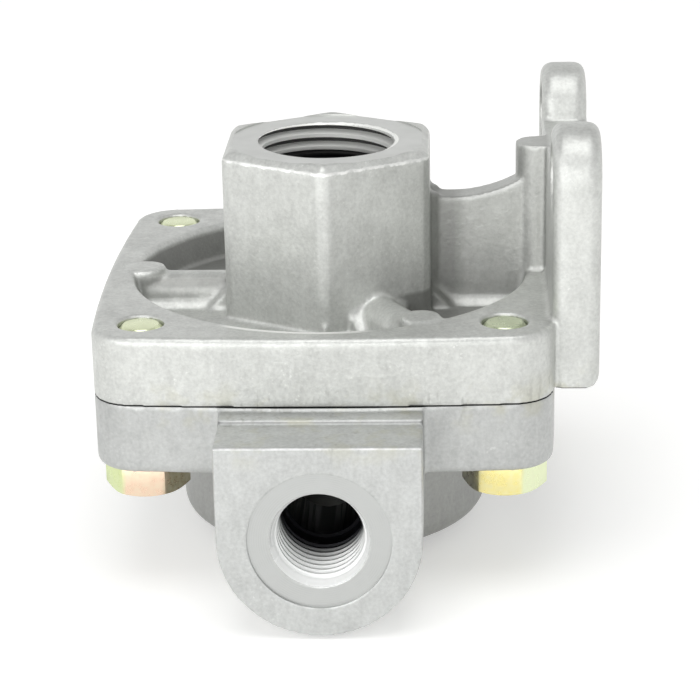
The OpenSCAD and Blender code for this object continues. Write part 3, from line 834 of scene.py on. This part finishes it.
# %% Machine the cover
ROOT_BAND = 0.15 * MM
LOOKS_DOWN = -0.25
cover.data.materials.append(cover_metal)
cut(cover, facing_tool)
cut(cover, supply_tool)
cut(cover, supply_thread)
for side_x in (-1, 1):
    for side_y in (-1, 1):
        tapped = turned("tapped_tool", [
            (TAPPED_R, JOINT_Z - OVERSHOOT), (TAPPED_R, COVER_TOP - TAPPED_BEVEL),
            (TAPPED_R + TAPPED_BEVEL + OVERSHOOT, COVER_TOP + OVERSHOOT)], supply_turned, 48)
        cut(cover, settle(tapped, (side_x * BOLT_C, side_y * BOLT_C, 0)))
cover.data.materials.append(thread_shade)
cut_slot = cover.data.materials.find(supply_cut.name)
root_slot = cover.data.materials.find(thread_shade.name)
# Root faces and faces that look down get the painted shade.
for face in cover.data.polygons:
    in_root = math.hypot(face.center.x, face.center.y) > SUPPLY_MAJOR_R - ROOT_BAND
    if face.material_index == cut_slot and (in_root or face.normal.z < LOOKS_DOWN):
        face.material_index = root_slot
print("cover has", triangles(cover), "triangles and", len(cover.data.materials), "finishes")

# %% [markdown]
# ## Machining the body
# Both delivery ports get a spot face, a bevelled mouth, a thread and the drilling behind it.
# The tools are made round Z and laid over, towards the front for one port and the rear for
# the other. The exhaust hole under the valve is a plain bore.

# %% Machine the body
body.data.materials.append(body_metal)
taper = (PORT_MOUTH_R - PORT_R) / PORT_TAPER
for lay, side in ((math.pi / 2, -1), (-math.pi / 2, 1)):
    spot_tool = turned("spot_tool", [(SPOT_R, 2 * OVERSHOOT), (SPOT_R, -SPOT_T)], port_turned)
    cut(body, settle(spot_tool, (0, side * PORT_FACE, PORT_Z), lay))
    port_tool = turned("port_tool", [
        (PORT_MOUTH_R + taper * OVERSHOOT, -SPOT_T + OVERSHOOT), (PORT_R, -SPOT_T - PORT_TAPER),
        (PORT_R, -PORT_DEPTH - 0.4 * MM)], port_cut)
    cut(body, settle(port_tool, (0, side * PORT_FACE, PORT_Z), lay))
    drill = turned("drill", [(DRILL_R, -PORT_DEPTH + 0.3 * MM), (DRILL_R, -DRILL_END)], port_cut)
    cut(body, settle(drill, (0, side * PORT_FACE, PORT_Z), lay))
    port_thread = thread_tool("port_thread", PORT_R, PORT_MAJOR_R, PORT_PITCH,
                              -PORT_DEPTH + PORT_RUNOUT, PORT_TURNS, port_cut)
    cut(body, settle(port_thread, (0, side * PORT_FACE, PORT_Z), lay))
exhaust_tool = turned("exhaust_tool", [(EXHAUST_R, -OVERSHOOT), (EXHAUST_R, EXHAUST_END)],
                      port_turned)
cut(body, exhaust_tool)
print("body has", triangles(body), "triangles and", len(body.data.materials), "finishes")

# %% [markdown]
# ## Cover bolts
# The bolts are pushed up from below, so their hexagon heads hang under the body flange and
# their tips show in the tapped holes of the cover. A copy of the solid gets flat faces again
# by dissolving its triangles, and a small bevel rounds the edges that a hand would feel.

# %% Bevel the bolts
bolts = solid_copy("cover_bolts", "hexagon_bolts")
edit_all(bolts)
bpy.ops.mesh.dissolve_limited(angle_limit=math.radians(2))
leave_edit()
apply_modifier(bolts, "BEVEL", width=0.14 * MM, segments=2, limit_method="ANGLE",
               angle_limit=math.radians(28))
bolts.data.materials.append(zinc)
print("bolts have", triangles(bolts), "triangles")

# %% [markdown]
# ## The diaphragm
# The rubber disc lies on the exhaust seat and can be seen down the supply bore. It is turned
# from its outline, with round moulded edges, and a bevel softens what is left.

# %% Model the diaphragm
DISC_R = 17.0 * MM
DISC_EDGE = 0.5 * MM
DISC_BOTTOM, DISC_SHOULDER, DISC_TOP = 23.9 * MM, 25.9 * MM, 26.75 * MM
DISC_TOP_R = 10.0 * MM
disc = turned("rubber_diaphragm", [
    (DISC_R - DISC_EDGE, DISC_BOTTOM), (DISC_R, DISC_BOTTOM + DISC_EDGE),
    (DISC_R, DISC_SHOULDER - DISC_EDGE), (DISC_R - DISC_EDGE, DISC_SHOULDER),
    (DISC_TOP_R, DISC_TOP)], diaphragm_rubber)
apply_modifier(disc, "BEVEL", width=0.3 * MM, segments=3, limit_method="ANGLE",
               angle_limit=math.radians(20))
print("diaphragm has", triangles(disc), "triangles")

# %% [markdown]
# ## Which piece moves with which body
# Castings and bolts belong to the housing. The diaphragm is a body of its own that lifts
# between its seats. Each new piece takes the place of its solid, which is hidden.
# Shading is smooth, except on turned faces that look straight along an axis, which stay flat.

# %% Put the pieces on their bodies
for piece, node, rides_on, slot in (
        (cover, "cover", "housing", "cast_cover"),
        (body, "body", "housing", "cast_body"),
        (bolts, "cover_bolts", "housing", "yellow_zinc"),
        (disc, "diaphragm", "diaphragm", "diaphragm_rubber")):
    only(piece)
    bpy.ops.object.shade_smooth_by_angle(angle=math.radians(32))
    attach(piece, rides_on)
    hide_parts(node)
    print(piece.name, "rides on", rides_on)
for piece, finish in ((cover, supply_turned), (body, port_turned)):
    slot_number = piece.data.materials.find(finish.name)
    flat = [face for face in piece.data.polygons if face.material_index == slot_number]
    for face in flat:
        face.use_smooth = max(abs(part) for part in face.normal) < 0.999
    print(finish.name, "covers", len(flat), "faces")
seal = frame["nodes"]["cover_seal"]
seal.data.materials.clear()
seal.data.materials.append(seal_rubber)

# %% [markdown]
# ## Floor and light
# The valve stands on a wide pale floor. The floor takes the shadow as a plain matt surface,
# and a glow that only the camera and mirrors see lifts it to white. A large soft lamp in
# front lights the faces that look forward, two more light the left and the top, and the pale
# world fills in the rest.

# %% Floor, world and lamps
bpy.ops.object.select_all(action="DESELECT")
bpy.ops.mesh.primitive_plane_add(size=8, location=(0, 0, 0))
floor = bpy.context.object
floor.name = "floor"
paper = bpy.data.materials.new("pale_floor")
paper.use_nodes = True
tree = paper.node_tree
tree.nodes.clear()


def seen_directly(tree):
    """1 for rays from the camera, a mirror or glass."""
    path = tree.nodes.new("ShaderNodeLightPath")
    seen = math_node(tree, "MAXIMUM", path.outputs["Is Camera Ray"], path.outputs["Is Glossy Ray"])
    return math_node(tree, "MAXIMUM", seen, path.outputs["Is Transmission Ray"])


matt = add_node(tree, "ShaderNodeBsdfDiffuse", Color=(0.82, 0.82, 0.81, 1))
glow = add_node(tree, "ShaderNodeEmission", Color=(1, 1, 1, 1),
                Strength=math_node(tree, "MULTIPLY", seen_directly(tree), 0.33))
both = add_node(tree, "ShaderNodeAddShader", i0=matt.outputs[0], i1=glow.outputs[0])
add_node(tree, "ShaderNodeOutputMaterial", Surface=both.outputs[0])
floor.data.materials.append(paper)

world = bpy.data.worlds.new("studio")
bpy.context.scene.world = world
world.use_nodes = True
tree = world.node_tree
background = tree.nodes["Background"]
rise = axes_of(tree, tree.nodes.new("ShaderNodeTexCoord").outputs["Generated"])["Z"]
tree.links.new(mix_colour(tree, stretch(tree, rise, 0.35, 0.9), (0.95, 0.95, 0.95, 1),
                          (0.4, 0.4, 0.4, 1)), background.inputs["Color"])

LAMP_DISTANCE = 0.9
LAMP_AIM_Z = 30 * MM


def soft_lamp(name, azimuth, elevation, size, power):
    """A square lamp that looks at the middle of the valve."""
    a, e = math.radians(azimuth), math.radians(elevation)
    bpy.ops.object.light_add(type="AREA", location=(
        LAMP_DISTANCE * math.sin(a) * math.cos(e), -LAMP_DISTANCE * math.cos(a) * math.cos(e),
        LAMP_DISTANCE * math.sin(e) + LAMP_AIM_Z))
    lamp = bpy.context.object
    lamp.name = name
    lamp.data.size = size
    lamp.data.energy = power
    lamp.rotation_euler = (math.pi / 2 - e, 0, a)


soft_lamp("front_lamp", azimuth=-15, elevation=12, size=0.7, power=2.9)
soft_lamp("left_lamp", azimuth=-50, elevation=25, size=0.4, power=0.85)
soft_lamp("top_lamp", azimuth=0, elevation=75, size=0.55, power=2.6)
print("floor, world and lamps are in place")

# %% [markdown]
# ## Camera
# The camera looks from the front and slightly above, as in the photograph. Its place and lens
# were found by fitting the edges of the solids to those of the picture.

# %% Camera
AZIMUTH, ELEVATION, ROLL = (math.radians(a) for a in (2.518, 19.556, -1.158))
DISTANCE = 338.222 * MM
TARGET = np.array((2.572, 0, 24.649)) * MM
back = np.array((math.sin(AZIMUTH) * math.cos(ELEVATION),
                 -math.cos(AZIMUTH) * math.cos(ELEVATION), math.sin(ELEVATION)))
right = np.array((math.cos(AZIMUTH), math.sin(AZIMUTH), 0))
up = np.cross(back, right)
turned_right = math.cos(ROLL) * right + math.sin(ROLL) * up
turned_up = -math.sin(ROLL) * right + math.cos(ROLL) * up
bpy.ops.object.camera_add()
camera = bpy.context.object
pose = np.eye(4)
pose[:3, 0], pose[:3, 1], pose[:3, 2] = turned_right, turned_up, back
pose[:3, 3] = TARGET + back * DISTANCE
camera.matrix_world = Matrix(pose.tolist())
camera.data.sensor_width = 36
camera.data.lens = 120.39
camera.data.clip_start = 0.01
bpy.context.scene.camera = camera
bpy.context.scene.view_settings.view_transform = "Standard"
print("camera at", [round(float(v) / MM) for v in pose[:3, 3]], "mm")
